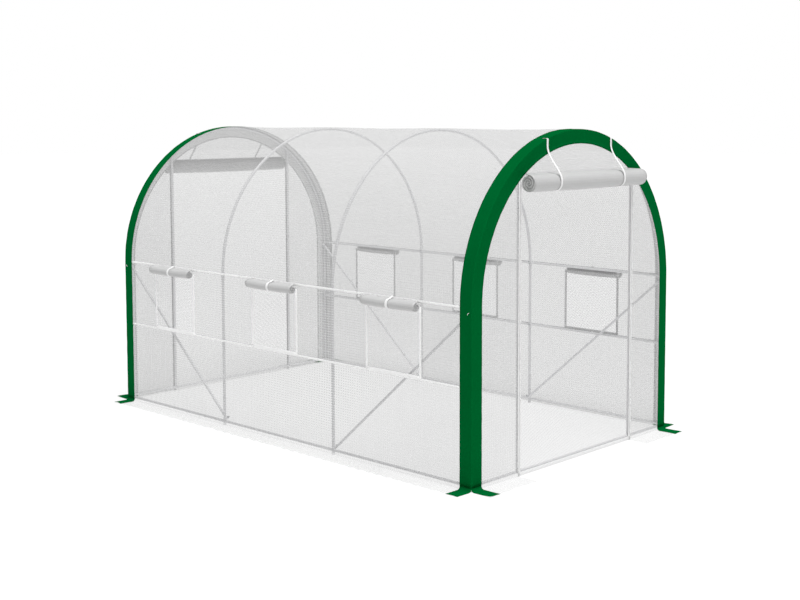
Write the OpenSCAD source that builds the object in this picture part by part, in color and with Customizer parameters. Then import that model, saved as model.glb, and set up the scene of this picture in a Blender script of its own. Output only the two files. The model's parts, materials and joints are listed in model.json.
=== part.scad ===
// Walk-in tunnel greenhouse: four steel-tube hoops under a mesh-reinforced film cover.
// Millimetres, +Z up. Origin on the ground at the middle of the plan; the length runs
// along Y and the front door faces -Y.

/* [Tunnel] */
// Outside width over the cover
cover_w = 2000; // [1800:50:2400]
// Outside length over the cover
cover_len = 3450; // [3000:50:4500]
// Height of the straight legs, where the round roof begins
leg_h = 1050; // [950:10:1200]
// Distance of each middle hoop from the middle of the length
middle_hoop_y = 555; // [450:5:650]

/* [Frame tubes] */
// Diameter of the hoop and door post tubes
hoop_d = 19; // [16:1:28]
// Diameter of the rails and braces
rail_d = 16; // [12:1:19]
// Height of the base rail's centre line
base_rail_z = 30; // [24:1:50]
// Height of the lower side rail's centre line
lower_rail_z = 590; // [500:5:650]

/* [Cover] */
// Thickness that the film is drawn with
film_t = 3; // [2:0.5:4]
// Width of the green band on the round side
side_band = 90; // [60:5:120]
// Width of the green band on the end face
end_band = 88; // [60:4:120]

/* [Doors] */
// Clear width of each doorway, between the post centres
door_w = 1150; // [900:10:1200]
// Height at which the doorway ends
door_h = 1755; // [1600:5:1755]
// Diameter of the rolled-up door
door_roll_d = 106; // [80:2:110]
// Length of the rolled-up door
door_roll_len = 1160; // [1150:10:1260]
// Distance of the rolled-up door's centre line from the end face
door_roll_out = 60; // [60:2:90]
// Distance of each door strap from the middle
strap_x = 325; // [200:5:400]
// Width of a door strap
strap_w = 16; // [12:1:25]

/* [Windows] */
// Width of a window
window_w = 450; // [350:10:550]
// Height of the window's lower edge
window_z0 = 604; // [602:2:640]
// Height of the window's upper edge
window_z1 = 1014; // [900:2:1034]
// Distance between window centres
window_pitch = 1100; // [1000:10:1150]
// Diameter of a rolled-up window cover
window_roll_d = 56; // [40:2:64]
// Length of a rolled-up window cover
window_roll_len = 450; // [420:10:560]
// Width of the loop that holds a window roll
tie_w = 20; // [12:1:30]

/* [Ground flaps] */
// How far the side skirts reach out
side_skirt = 120; // [80:5:200]
// How far the end skirts reach out
end_skirt = 140; // [140:5:200]
// Radius of the bend from wall to ground
flare_r = 20; // [10:1:30]

/* [Hidden] */
$fn = 96;

gap = 0.5;                                  // clearance between pieces that meet
roof_r = cover_w / 2;                       // outer radius of the round roof
end_y = cover_len / 2;                      // outer face of each end
film_y = end_y - side_band;                 // where the film meets the green band
hoop_r = roof_r - film_t - 1 - hoop_d / 2;  // radius of the hoop's centre line
hoop_x = hoop_r;                            // legs stand at this distance
end_hoop_y = end_y - film_t - 1 - hoop_d / 2;
hoop_ys = [-end_hoop_y, -middle_hoop_y, middle_hoop_y, end_hoop_y];
opening_r = roof_r - end_band;              // inner edge of the green end band
post_x = door_w / 2;
window_ys = [-window_pitch, 0, window_pitch];
brace_x = hoop_x - hoop_d / 2 - rail_d / 2 - gap;
bend_z = flare_r + film_t;                  // where walls start to bend outwards
tape_t = 2;                                 // thickness of straps and ties
door_roll_y = end_y + door_roll_out;
door_roll_z = door_h - 15;
window_roll_x = roof_r + window_roll_d / 2 + tape_t + 2;
window_roll_z = window_z1 + 8;

// ---- placing helpers ----

// The left side is drawn; right_side() mirrors it across the length axis.
module right_side() { mirror([1, 0, 0]) children(); }

// The front is drawn; rear() mirrors it.
module rear() { mirror([0, 1, 0]) children(); }

// Tube between two points in a plane parallel to YZ, at distance x
module slanted_tube(x, a, b, d) {
    run = b - a;
    translate([x, a[0], a[1]])
        rotate([-atan2(run[0], run[1]), 0, 0])
            cylinder(d = d, h = norm(run), $fn = 48);
}

// ---- frame ----

// Two straight legs joined by a half-round arch, all one bent tube
module hoop(y) {
    translate([0, y, 0]) {
        translate([0, 0, leg_h])
            rotate([90, 0, 0])
                rotate_extrude(angle = 180, $fn = 128)
                    translate([hoop_r, 0]) circle(d = hoop_d, $fn = 48);
        for (s = [-1, 1])
            translate([s * hoop_x, 0, 0]) cylinder(d = hoop_d, h = leg_h, $fn = 48);
    }
}

// Three lengths of rail between the legs of one side, notched round each leg
module side_rail(z) {
    difference() {
        translate([-hoop_x, hoop_ys[0], z])
            rotate([-90, 0, 0])
                cylinder(d = rail_d, h = hoop_ys[3] - hoop_ys[0], $fn = 48);
        for (y = hoop_ys)
            translate([-hoop_x, y, z - rail_d])
                cylinder(d = hoop_d + 2 * gap, h = 2 * rail_d, $fn = 48);
    }
}

// Rail along the ground across one end, notched round the corner legs
module end_rail(y) {
    difference() {
        translate([-hoop_x, y, base_rail_z])
            rotate([0, 90, 0])
                cylinder(d = rail_d, h = 2 * hoop_x, $fn = 48);
        for (s = [-1, 1])
            translate([s * hoop_x, y, base_rail_z - rail_d])
                cylinder(d = hoop_d + 2 * gap, h = 2 * rail_d, $fn = 48);
    }
}

// Braces of the two end bays, on the inner side of the legs and rails
module side_braces() {
    foot_z = base_rail_z + 10;
    for (s = [-1, 1])
        slanted_tube(-brace_x, [s * hoop_ys[2], foot_z], [s * end_hoop_y, leg_h - 14], rail_d);
}

// Door posts from the base rail to the underside of the arch
module door_posts(y) {
    intersection() {
        for (s = [-1, 1])
            translate([s * post_x, y, base_rail_z + rail_d / 2 + gap])
                cylinder(d = hoop_d, h = roof_r + leg_h, $fn = 48);
        union() {
            translate([0, y, leg_h])
                rotate([90, 0, 0])
                    cylinder(r = hoop_r - hoop_d / 2 - gap, h = 2 * hoop_d, center = true, $fn = 180);
            translate([-post_x - hoop_d, y - hoop_d, 0])
                cube([2 * post_x + 2 * hoop_d, 2 * hoop_d, leg_h]);
        }
    }
}

// ---- cover ----

// Straight side wall with three window openings
module side_cover() {
    difference() {
        translate([-roof_r, -film_y, bend_z])
            cube([film_t, 2 * film_y, leg_h - bend_z]);
        for (y = window_ys)
            translate([-roof_r - 1, y - window_w / 2, window_z0])
                cube([film_t + 2, window_w, window_z1 - window_z0]);
    }
}

// Half-round roof between the two green bands
module roof() {
    translate([0, film_y, leg_h])
        rotate([90, 0, 0])
            rotate_extrude(angle = 180, $fn = 180)
                translate([roof_r - film_t, 0]) square([film_t, 2 * film_y]);
}

// Outline of an end panel inside the green band, seen from the front
module end_outline() {
    translate([0, leg_h]) circle(r = opening_r, $fn = 180);
    translate([-opening_r, bend_z]) square([2 * opening_r, leg_h - bend_z]);
}

// The part of the end panel inside the given rectangle
module end_panel(x0, x1, z0, z1) {
    translate([0, -end_y + film_t, 0])
        rotate([90, 0, 0])
            linear_extrude(film_t)
                intersection() {
                    end_outline();
                    translate([x0, z0]) square([x1 - x0, z1 - z0]);
                }
}

module left_panel() { end_panel(-roof_r, -post_x, bend_z, leg_h + roof_r); }
module right_panel() { end_panel(post_x, roof_r, bend_z, leg_h + roof_r); }
module top_panel() { end_panel(-post_x, post_x, door_h, leg_h + roof_r); }

// Mesh sheet that fills a doorway
module door_screen() {
    translate([-post_x, -end_y + film_t / 2 - 1, film_t])
        cube([2 * post_x, 2, door_h - film_t]);
}

// Mesh sheets that fill the windows of one side
module window_screens() {
    for (y = window_ys)
        translate([-roof_r + film_t / 2 - 1, y - window_w / 2, window_z0])
            cube([2, window_w, window_z1 - window_z0]);
}

// ---- rolled-up covers ----

// Section of a roll with the sheet that leads from its top back to the wall.
// The roll's centre is at the origin and the wall at x = out.
module roll_section(d, out, rise, t) {
    circle(d = d, $fn = 72);
    polygon([[0, d / 2 - t], [out, rise - t], [out, rise], [0, d / 2]]);
}

// Three rolled-up window covers of one side
module window_rolls() {
    for (y = window_ys)
        translate([-window_roll_x, y + window_roll_len / 2, window_roll_z])
            rotate([90, 0, 0])
                linear_extrude(window_roll_len)
                    roll_section(window_roll_d, window_roll_x - roof_r - 0.3, window_roll_d / 2 + 3, film_t);
}

// Loops of tape that hold the window rolls up, one round the middle of each
module window_ties() {
    r0 = window_roll_d / 2 + gap;
    for (y = window_ys)
        translate([-window_roll_x, y + tie_w / 2, window_roll_z])
            rotate([90, 0, 0])
                linear_extrude(tie_w)
                    difference() {
                        circle(r = r0 + tape_t, $fn = 72);
                        circle(r = r0, $fn = 72);
                        translate([0, -gap]) square([2 * r0, 2 * r0]);
                    }
}

// Rolled-up door, hung in front of the end face
module door_roll() {
    translate([-door_roll_len / 2, -door_roll_y, door_roll_z])
        rotate([90, 0, 90])
            linear_extrude(door_roll_len)
                roll_section(door_roll_d, door_roll_out - 0.3, door_roll_d / 2 + 3, film_t);
}

// Path of a door strap in the plane across the roll: down the end face in a soft S,
// then round the front of the roll and under it. x is the distance from the end face.
strap_steps = 12;
face_gap = 1 + gap;
wrap_r = door_roll_d / 2 + gap;
strap_top = leg_h + sqrt(pow(roof_r, 2) - pow(strap_x + strap_w / 2, 2)) - 1;
strap_path = concat(
    [for (i = [0 : strap_steps])
        let (t = i / strap_steps, s = t * t * (3 - 2 * t))
            [-face_gap - s * (door_roll_out + wrap_r - face_gap),
             strap_top - t * (strap_top - door_roll_z)]],
    [for (a = [10 : 10 : 100])
        [-door_roll_out - wrap_r * cos(a), door_roll_z - wrap_r * sin(a)]]);

// Unit vector to the outer side of the strap's path at point i
function strap_out(i) =
    let (a = strap_path[max(i - 1, 0)],
         b = strap_path[min(i + 1, len(strap_path) - 1)],
         d = (b - a) / norm(b - a))
        [d[1], -d[0]];

module strap_section() {
    outer = [for (i = [len(strap_path) - 1 : -1 : 0]) strap_path[i] + tape_t * strap_out(i)];
    polygon(concat(strap_path, outer));
}

// The two straps that hold a rolled-up door
module door_straps() {
    for (s = [-1, 1])
        translate([s * strap_x - strap_w / 2, -end_y, 0])
            rotate([90, 0, 90])
                linear_extrude(strap_w) strap_section();
}

// ---- green bands ----

// L-shaped section of the band: x is the radius, y the depth from the end face
module band_section() {
    translate([opening_r, 0]) square([end_band, film_t]);
    translate([roof_r - film_t, 0]) square([film_t, side_band]);
}

module trim() {
    translate([0, -end_y, leg_h])
        rotate([90, 0, 0])
            rotate_extrude(angle = 180, $fn = 180)
                mirror([0, 1]) band_section();
    for (s = [0, 1])
        mirror([s, 0, 0])
            translate([0, -end_y, bend_z])
                linear_extrude(leg_h - bend_z) band_section();
}

// ---- flaps on the ground ----

// Section of a flap: bends out of the wall at x = 0 and lies flat towards -x
module flap_section(reach) {
    intersection() {
        translate([-flare_r, bend_z]) difference() {
            circle(r = bend_z, $fn = 64);
            circle(r = flare_r, $fn = 64);
        }
        translate([-flare_r, 0]) square([bend_z, bend_z]);
    }
    translate([-reach, 0]) square([reach - flare_r, film_t]);
}

// Flap along the left side between two places on the length axis
module side_flap(y0, y1) {
    translate([-roof_r, y1, 0])
        rotate([90, 0, 0])
            linear_extrude(y1 - y0) flap_section(side_skirt);
}

// Flap along the front between two places across the width
module front_flap(x0, x1) {
    translate([x0, -end_y, 0])
        rotate([90, 0, 90])
            linear_extrude(x1 - x0) flap_section(end_skirt);
}

// The two skirts beside a doorway
module end_skirts() {
    for (s = [0, 1])
        mirror([s, 0, 0]) front_flap(-opening_r, -post_x);
}

// The corner flaps of one end, where the green band is split and turned out
module ground_flaps() {
    for (s = [0, 1])
        mirror([s, 0, 0]) {
            side_flap(-end_y, -film_y);
            front_flap(-roof_r + film_t + 1, -opening_r);
        }
}

// ---- named pieces ----

steel = [0.80, 0.81, 0.82];
film = [0.90, 0.91, 0.91];
mesh = [0.85, 0.86, 0.87];
green = [0.0, 0.42, 0.20];
white = [0.95, 0.95, 0.95];

module front_hoop() { color(steel) hoop(hoop_ys[0]); }
module front_middle_hoop() { color(steel) hoop(hoop_ys[1]); }
module rear_middle_hoop() { color(steel) hoop(hoop_ys[2]); }
module rear_hoop() { color(steel) hoop(hoop_ys[3]); }
module left_base_rail() { color(steel) side_rail(base_rail_z); }
module left_lower_rail() { color(steel) side_rail(lower_rail_z); }
module left_upper_rail() { color(steel) side_rail(leg_h); }
module right_base_rail() { color(steel) right_side() side_rail(base_rail_z); }
module right_lower_rail() { color(steel) right_side() side_rail(lower_rail_z); }
module right_upper_rail() { color(steel) right_side() side_rail(leg_h); }
module end_base_rails() { color(steel) for (s = [-1, 1]) end_rail(s * end_hoop_y); }
module left_braces() { color(steel) side_braces(); }
module right_braces() { color(steel) right_side() side_braces(); }
module front_door_posts() { color(steel) door_posts(-end_hoop_y); }
module rear_door_posts() { color(steel) door_posts(end_hoop_y); }
module left_side_cover() { color(film) side_cover(); }
module right_side_cover() { color(film) right_side() side_cover(); }
module roof_cover() { color(film) roof(); }
module front_left_panel() { color(film) left_panel(); }
module front_right_panel() { color(film) right_panel(); }
module front_top_panel() { color(film) top_panel(); }
module rear_left_panel() { color(film) rear() left_panel(); }
module rear_right_panel() { color(film) rear() right_panel(); }
module rear_top_panel() { color(film) rear() top_panel(); }
module front_door_screen() { color(mesh) door_screen(); }
module rear_door_screen() { color(mesh) rear() door_screen(); }
module left_window_screens() { color(mesh) window_screens(); }
module right_window_screens() { color(mesh) right_side() window_screens(); }
module left_window_rolls() { color(film) window_rolls(); }
module right_window_rolls() { color(film) right_side() window_rolls(); }
module left_window_ties() { color(white) window_ties(); }
module right_window_ties() { color(white) right_side() window_ties(); }
module front_door_roll() { color(film) door_roll(); }
module rear_door_roll() { color(film) rear() door_roll(); }
module front_door_straps() { color(white) door_straps(); }
module rear_door_straps() { color(white) rear() door_straps(); }
module front_trim() { color(green) trim(); }
module rear_trim() { color(green) rear() trim(); }
module left_skirt() { color(white) side_flap(-film_y, film_y); }
module right_skirt() { color(white) right_side() side_flap(-film_y, film_y); }
module front_skirts() { color(white) end_skirts(); }
module rear_skirts() { color(white) rear() end_skirts(); }
module front_ground_flaps() { color(green) ground_flaps(); }
module rear_ground_flaps() { color(green) rear() ground_flaps(); }

front_hoop();
front_middle_hoop();
rear_middle_hoop();
rear_hoop();
left_base_rail();
left_lower_rail();
left_upper_rail();
right_base_rail();
right_lower_rail();
right_upper_rail();
end_base_rails();
left_braces();
right_braces();
front_door_posts();
rear_door_posts();
left_side_cover();
right_side_cover();
roof_cover();
front_left_panel();
front_right_panel();
front_top_panel();
rear_left_panel();
rear_right_panel();
rear_top_panel();
front_door_screen();
rear_door_screen();
left_window_screens();
right_window_screens();
left_window_rolls();
right_window_rolls();
left_window_ties();
right_window_ties();
front_door_roll();
rear_door_roll();
front_door_straps();
rear_door_straps();
front_trim();
rear_trim();
left_skirt();
right_skirt();
front_skirts();
rear_skirts();
front_ground_flaps();
rear_ground_flaps();
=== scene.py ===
"""Walk-in tunnel greenhouse: film cover, mesh doors and windows, rolled covers, bands and finishes.

Laid out as an add-on and run as a script. Lengths are in metres in the frame's own axes: +Z up,
the length along Y, the front door faces -Y, the left side is -X, and the origin is on the ground.
"""

import json
import math

import bpy
import numpy as np
from bpy.props import FloatProperty, FloatVectorProperty, PointerProperty
from mathutils import Matrix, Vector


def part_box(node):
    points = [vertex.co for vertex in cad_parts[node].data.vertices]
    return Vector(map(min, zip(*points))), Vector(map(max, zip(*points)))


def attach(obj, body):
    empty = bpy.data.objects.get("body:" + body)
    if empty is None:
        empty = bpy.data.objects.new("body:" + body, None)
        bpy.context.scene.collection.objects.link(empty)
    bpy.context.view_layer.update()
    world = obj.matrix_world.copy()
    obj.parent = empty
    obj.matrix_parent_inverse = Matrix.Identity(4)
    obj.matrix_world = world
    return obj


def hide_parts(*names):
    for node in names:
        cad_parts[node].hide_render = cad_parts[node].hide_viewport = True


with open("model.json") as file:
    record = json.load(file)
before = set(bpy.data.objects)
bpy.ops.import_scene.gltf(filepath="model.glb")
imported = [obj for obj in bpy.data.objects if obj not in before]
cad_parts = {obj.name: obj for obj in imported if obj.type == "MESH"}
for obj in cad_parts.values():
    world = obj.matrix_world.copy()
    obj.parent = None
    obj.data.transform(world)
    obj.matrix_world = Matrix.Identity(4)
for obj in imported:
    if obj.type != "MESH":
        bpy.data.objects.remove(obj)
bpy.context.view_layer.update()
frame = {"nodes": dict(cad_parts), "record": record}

bl_info = {
    "name": "Tunnel Greenhouse Cover",
    "version": (1, 0, 0),
    "blender": (4, 5, 0),
    "location": "View3D > Sidebar > Tunnel",
    "description": "Dresses the tube frame of a walk-in tunnel greenhouse with its cover and fittings",
    "category": "Object",
}

# ---- what the frame says ----


def low(node, axis):
    """Lowest coordinate of a node along an axis."""
    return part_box(node)[0]["xyz".index(axis)]


def high(node, axis):
    """Highest coordinate of a node along an axis."""
    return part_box(node)[1]["xyz".index(axis)]


def middle(node, axis):
    """Middle of a node along an axis."""
    return (low(node, axis) + high(node, axis)) / 2


def far(node, axis):
    """Distance of a node's farthest point from the object's middle along an axis."""
    return max(abs(low(node, axis)), abs(high(node, axis)))


def edges(node, axis):
    """Every different coordinate along an axis of a node that is made of plain boxes."""
    mesh = frame["nodes"][node].data
    places = np.zeros(len(mesh.vertices) * 3, np.float32)
    mesh.vertices.foreach_get("co", places)
    return np.unique(places.reshape(-1, 3)[:, "xyz".index(axis)].round(4)).astype(float)


ROOF_R = high("roof_cover", "x")
LEG_H = low("roof_cover", "z")
FILM_Y = high("roof_cover", "y")
END_Y = high("rear_trim", "y")
BEND_Z = low("rear_trim", "z")
OPENING_R = high("front_top_panel", "z") - LEG_H
POST_X = high("front_door_screen", "x")
DOOR_Z0 = low("front_door_screen", "z")
DOOR_Z1 = high("front_door_screen", "z")
WINDOW_Z0 = low("left_window_screens", "z")
WINDOW_Z1 = high("left_window_screens", "z")
WINDOW_Y = edges("left_window_screens", "y").reshape(-1, 2)
HOOPS = ("front_hoop", "front_middle_hoop", "rear_middle_hoop", "rear_hoop")
HOOP_Y = np.array([middle(node, "y") for node in HOOPS])
HOOP_R = (high("front_hoop", "y") - low("front_hoop", "y")) / 2
HOOP_X = high("front_hoop", "x") - HOOP_R
RAIL_Z = np.array([middle(f"left_{level}_rail", "z") for level in ("base", "lower", "upper")])
RAIL_R = (high("left_lower_rail", "z") - low("left_lower_rail", "z")) / 2
BRACE_X = high("right_braces", "x") - RAIL_R
BACK_FACE = -0.0015  # film and nets lie this far inside the outer faces, under bands and tapes

FACES = {  # right-hand direction and outward direction, seen from outside, and the face's distance
    "front": ((1, 0), (0, -1), END_Y),
    "right": ((0, 1), (1, 0), ROOF_R),
    "rear": ((-1, 0), (0, 1), END_Y),
    "left": ((0, -1), (-1, 0), ROOF_R),
}


def on_face(face, along, out, up):
    """Points on one of the four faces, from the distance to the right, outwards and up."""
    right, outward, distance = FACES[face]
    along, out, up = np.broadcast_arrays(along, out + distance, up)
    return np.stack([right[0] * along + outward[0] * out, right[1] * along + outward[1] * out, up], -1)


# ---- numbers and shapes ----


def steps(*stops, pitch):
    """Numbers from the first stop to the last, with every stop among them, about a pitch apart."""
    parts = []
    for start, end in zip(stops, stops[1:]):
        count = max(1, round(abs(end - start) / pitch))
        parts.append(np.linspace(start, end, count + 1)[:-1])
    return np.append(np.concatenate(parts), stops[-1])


def smooth(value, start, end):
    """0 before start, 1 after end, and a soft S between: t squared times (3 - 2t)."""
    t = np.clip((value - start) / (end - start), 0, 1)
    return t * t * (3 - 2 * t)


def bump(value, centre, width):
    """A bell that is 1 at the centre and falls to 0.37 at one width from it."""
    return np.exp(-(((value - centre) / width) ** 2))


def waves(seed, u, v, length_u, length_v, count=7):
    """Soft irregular waves of about unit height: a sum of sines whose lengths, slants and phases
    come from the seed. A wave is about length_u long along u, and length_v along v."""
    rng = np.random.default_rng(seed)
    total = np.zeros(np.broadcast(u, v).shape)
    for _ in range(count):
        turn_u = 2 * np.pi / length_u * rng.uniform(0.6, 1.7)
        turn_v = 2 * np.pi / length_v * rng.uniform(-1.3, 1.3)
        total += np.sin(turn_u * u + turn_v * v + rng.uniform(0, 2 * np.pi)) * rng.uniform(0.5, 1)
    return total / math.sqrt(count)


def between(value, marks):
    """How far each value is from the marks: 0 on a mark, 1 halfway between two of them."""
    marks = np.sort(np.asarray(marks))
    right = np.clip(np.searchsorted(marks, value), 1, len(marks) - 1)
    share = (value - marks[right - 1]) / (marks[right] - marks[right - 1])
    return np.sin(np.pi * np.clip(share, 0, 1)) ** 2


def grid(points, uv, keep=None):
    """A patch of a mesh. points is (n, m, 3) and uv is (n, m, 2) in metres. Its outer side is where
    the first direction crossed with the second points. keep marks the (n-1, m-1) faces that stay."""
    n, m = points.shape[:2]
    number = np.arange(n * m).reshape(n, m)
    faces = np.stack([number[:-1, :-1], number[1:, :-1], number[1:, 1:], number[:-1, 1:]], -1)
    faces = faces.reshape(-1, 4)
    if keep is not None:
        faces = faces[keep.ravel()]
    return points.reshape(-1, 3), faces, uv.reshape(-1, 2)


def pair(u, v):
    """Two (n, m) arrays of surface coordinates as one (n, m, 2) array."""
    return np.stack(np.broadcast_arrays(u, v), -1)


def distances(path):
    """Distance along a path of points, from 0 at its start."""
    return np.concatenate([[0], np.cumsum(np.linalg.norm(np.diff(path, axis=0), axis=1))])


def outline(s, radius):
    """x, z and outward direction of the tunnel's outline at a radius. s is measured at ROOF_R: up the
    left leg, over the half-round roof, where the angle from the left is the distance over ROOF_R, and
    down the right leg."""
    angle = np.clip((s - LEG_H) / ROOF_R, 0, np.pi)
    fall = np.maximum(s - LEG_H - np.pi * ROOF_R, 0)
    x = -radius * np.cos(angle)
    z = np.where(s < LEG_H, s, LEG_H + radius * np.sin(angle) - fall)
    return x, z, -np.cos(angle), np.sin(angle)


OUTLINE_END = 2 * LEG_H + np.pi * ROOF_R


def tube(path, radius, sides=10):
    """Round tube along a path of points in a plane: each ring is the radius times the cosine of its
    angle along the plane's normal, plus the sine along the direction square to path and normal."""
    path = np.asarray(path, float)
    along = np.gradient(path, axis=0)
    along /= np.linalg.norm(along, axis=1, keepdims=True)
    turns = np.cross(along[:-1], along[1:])
    normal = turns[np.argmax(np.linalg.norm(turns, axis=1))]
    if np.linalg.norm(normal) < 1e-6:
        normal = np.cross(along[0], np.eye(3)[np.argmin(np.abs(along[0]))])
    normal = normal / np.linalg.norm(normal)
    side = np.cross(along, normal)
    angle = np.linspace(0, 2 * np.pi, sides + 1)[None, :, None]
    radius = np.broadcast_to(radius, len(path))[:, None, None]
    points = path[:, None] + radius * (np.cos(angle) * side[:, None] + np.sin(angle) * normal)
    return grid(points, pair(distances(path)[:, None], angle[..., 0] * radius.mean()))


def turned(profile, centre, axis, sides=24, hexed=()):
    """A profile of (radius, height) points turned round an axis that leaves the centre. Rows named in
    hexed have six flats: the radius is divided by the cosine of the angle from the nearest flat."""
    profile = np.asarray(profile, float)
    angle = np.linspace(0, 2 * np.pi, sides + 1)
    flat = 1 / np.cos((angle + np.pi / 6) % (np.pi / 3) - np.pi / 6)
    radius = profile[:, :1] * np.where(np.isin(np.arange(len(profile)), hexed)[:, None], flat, 1)
    axis = np.asarray(axis, float)
    side = np.cross(axis, np.eye(3)[np.argmin(np.abs(axis))])
    side /= np.linalg.norm(side)
    other = np.cross(axis, side)
    points = (np.asarray(centre) + profile[:, 1:, None] * axis
              + radius[..., None] * (np.cos(angle)[:, None] * side + np.sin(angle)[:, None] * other))
    return grid(points.transpose(1, 0, 2), pair(angle[:, None] * 0.01, profile[None, :, 1]))


def piece(name, grids, material, replaces=(), thick=0.0, weld=False, back=None):
    """One object of all the grids, in place, with its finish, riding on the frame. A thick piece may
    have another finish on its back."""
    starts = np.cumsum([0] + [len(points) for points, _, _ in grids])
    points = np.concatenate([g[0] for g in grids])
    faces = np.concatenate([g[1] + start for g, start in zip(grids, starts)])
    uv = np.concatenate([g[2] for g in grids])[faces.ravel()]
    used, faces = np.unique(faces, return_inverse=True)
    faces = faces.reshape(-1, 4)
    mesh = bpy.data.meshes.new(name)
    mesh.vertices.add(len(used))
    mesh.vertices.foreach_set("co", points[used].astype(np.float32).ravel())
    mesh.loops.add(faces.size)
    mesh.loops.foreach_set("vertex_index", faces.ravel().astype(np.int32))
    mesh.polygons.add(len(faces))
    mesh.polygons.foreach_set("loop_start", np.arange(0, faces.size, 4, dtype=np.int32))
    mesh.polygons.foreach_set("use_smooth", np.ones(len(faces), bool))
    mesh.uv_layers.new(name="UVMap").data.foreach_set("uv", uv.astype(np.float32).ravel())
    mesh.update(calc_edges=True)
    mesh.validate()
    obj = bpy.data.objects.new(name, mesh)
    bpy.context.scene.collection.objects.link(obj)
    if weld:
        merge = obj.modifiers.new("Seams", "WELD")
        merge.merge_threshold = 1e-5
    if thick:
        solid = obj.modifiers.new("Thickness", "SOLIDIFY")
        solid.thickness = thick
        solid.offset = -1
        solid.material_offset = 1 if back else 0
    mesh.materials.append(material)
    if back:
        mesh.materials.append(back)
    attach(obj, "root")
    if replaces:
        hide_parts(*replaces)
    return obj


# ---- finishes ----

FILM_THREAD = 0.0030  # width of a thread in the film
MESH_THREAD = 0.0036  # width of a thread of the mesh
WHITE = (1, 1, 1, 1)


def math_operator(operation, reflected=False):
    """A method that adds one Math node. Its inputs change places in the reflected form."""
    if reflected:
        return lambda self, other: self.math(operation, other, self)
    return lambda self, other: self.math(operation, self, other)


class Value:
    """A shader value. Its operators add Math nodes, so a mask is written as a plain expression."""

    def __init__(self, paint, socket):
        self.paint = paint
        self.socket = socket

    def math(self, operation, first, second=None):
        return self.paint.add("ShaderNodeMath", {"operation": operation}, {0: first, 1: second})

    __add__ = math_operator("ADD")
    __radd__ = math_operator("ADD", reflected=True)
    __sub__ = math_operator("SUBTRACT")
    __rsub__ = math_operator("SUBTRACT", reflected=True)
    __mul__ = math_operator("MULTIPLY")
    __rmul__ = math_operator("MULTIPLY", reflected=True)
    __truediv__ = math_operator("DIVIDE")

    def away_from(self, line):
        """Distance from a line, the same on both of its sides."""
        return self.math("ABSOLUTE", self - line)

    def either(self, other):
        """The larger of two values: where one mask or the other is."""
        return self.math("MAXIMUM", self, other)

    def both(self, other):
        """The smaller of two values: where both masks are."""
        return self.math("MINIMUM", self, other)

    def to_nearest(self, pitch):
        """Distance to the nearest whole number of pitches."""
        return self.math("PINGPONG", self, pitch / 2)

    def fades(self, start, end):
        """1 up to start, falling softly to 0 at end."""
        ends = {"Value": self, "From Min": start, "From Max": end, "To Min": 1, "To Max": 0}
        return self.paint.add("ShaderNodeMapRange", {"interpolation_type": "SMOOTHSTEP"}, ends)


class Paint:
    """A node material and the one method that adds its nodes."""

    def __init__(self, name):
        self.material = bpy.data.materials.new(name)
        self.material.use_nodes = True
        self.tree = self.material.node_tree
        self.tree.nodes.clear()

    def add(self, kind, settings=(), values=(), *outputs):
        """Adds a node: its settings first, then the values or links of its sockets. Gives the first
        output, or the named ones."""
        node = self.tree.nodes.new(kind)
        for name, setting in dict(settings).items():
            setattr(node, name, setting)
        for name, value in dict(values).items():
            if isinstance(value, Value):
                self.tree.links.new(value.socket, node.inputs[name])
            elif value is not None:
                node.inputs[name].default_value = value
        names = outputs or range(min(1, len(node.outputs)))
        found = [Value(self, node.outputs[name]) for name in names]
        return found[0] if len(found) == 1 else found

    def place(self):
        """Where a point is on the object, in metres."""
        return self.add("ShaderNodeTexCoord", {}, {}, "Object")

    def surface_place(self):
        """The two coordinates along a sheet, in metres."""
        where = self.add("ShaderNodeTexCoord", {}, {}, "UV")
        return self.add("ShaderNodeSeparateXYZ", {}, {0: where}, "X", "Y")

    def noise(self, where, scale, detail=3.0, rough=0.5):
        """Noise of a scale. Three scales stretch it by a different amount along each axis."""
        if isinstance(scale, tuple):
            where = self.add("ShaderNodeMapping", {}, {"Vector": where, "Scale": scale})
            scale = 1.0
        return self.add("ShaderNodeTexNoise", {}, {"Vector": where, "Scale": scale, "Detail": detail,
                                                   "Roughness": rough}, "Fac")

    def mix(self, share, first, second):
        """Colour between two colours."""
        return self.add("ShaderNodeMix", {"data_type": "RGBA"}, {0: share, 6: first, 7: second}, 2)

    def shades(self, colour, *masks, base=1.0):
        """The colour at a base brightness. Each mask then takes it towards another brightness."""
        tint = rgb(colour, base)
        for share, factor in masks:
            tint = self.mix(share, tint, rgb(colour, factor))
        return tint

    def relief(self, *bumps):
        """Bumps one over the other, each with its height and its depth in metres."""
        normal = None
        for height, depth in bumps:
            normal = self.add("ShaderNodeBump", {}, {"Strength": 1.0, "Distance": depth, "Height": height,
                                                     "Normal": normal})
        return normal

    def coat(self, tint, rough, relief, **constants):
        """The main shader: its colour, roughness and bumps, and sockets that are the same all over."""
        values = {"Base Color": tint, "Roughness": rough, "Normal": relief}
        for name, value in constants.items():
            values[name.replace("_", " ")] = value
        return self.add("ShaderNodeBsdfPrincipled", {}, values)

    def finish(self, shader):
        self.add("ShaderNodeOutputMaterial", {}, {"Surface": shader})
        return self.material


def rgb(colour, factor=1.0):
    """A colour with full alpha, made lighter or darker."""
    return (*(min(1.0, channel * factor) for channel in colour), 1.0)


def threads(u, v, pitch, width):
    """Mask of the threads of a square net."""
    across = u.to_nearest(pitch).fades(width * 0.35, width * 0.65)
    along = v.to_nearest(pitch).fades(width * 0.35, width * 0.65)
    return across.either(along)


def stitches(u, v, line, length=0.006, width=0.0012):
    """Mask of one row of stitches along u, at the distance line from v = 0."""
    across = v.away_from(line).fades(width * 0.3, width * 0.7)
    along = u.to_nearest(length).fades(length * 0.28, length * 0.36)
    return across.both(along)


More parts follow.
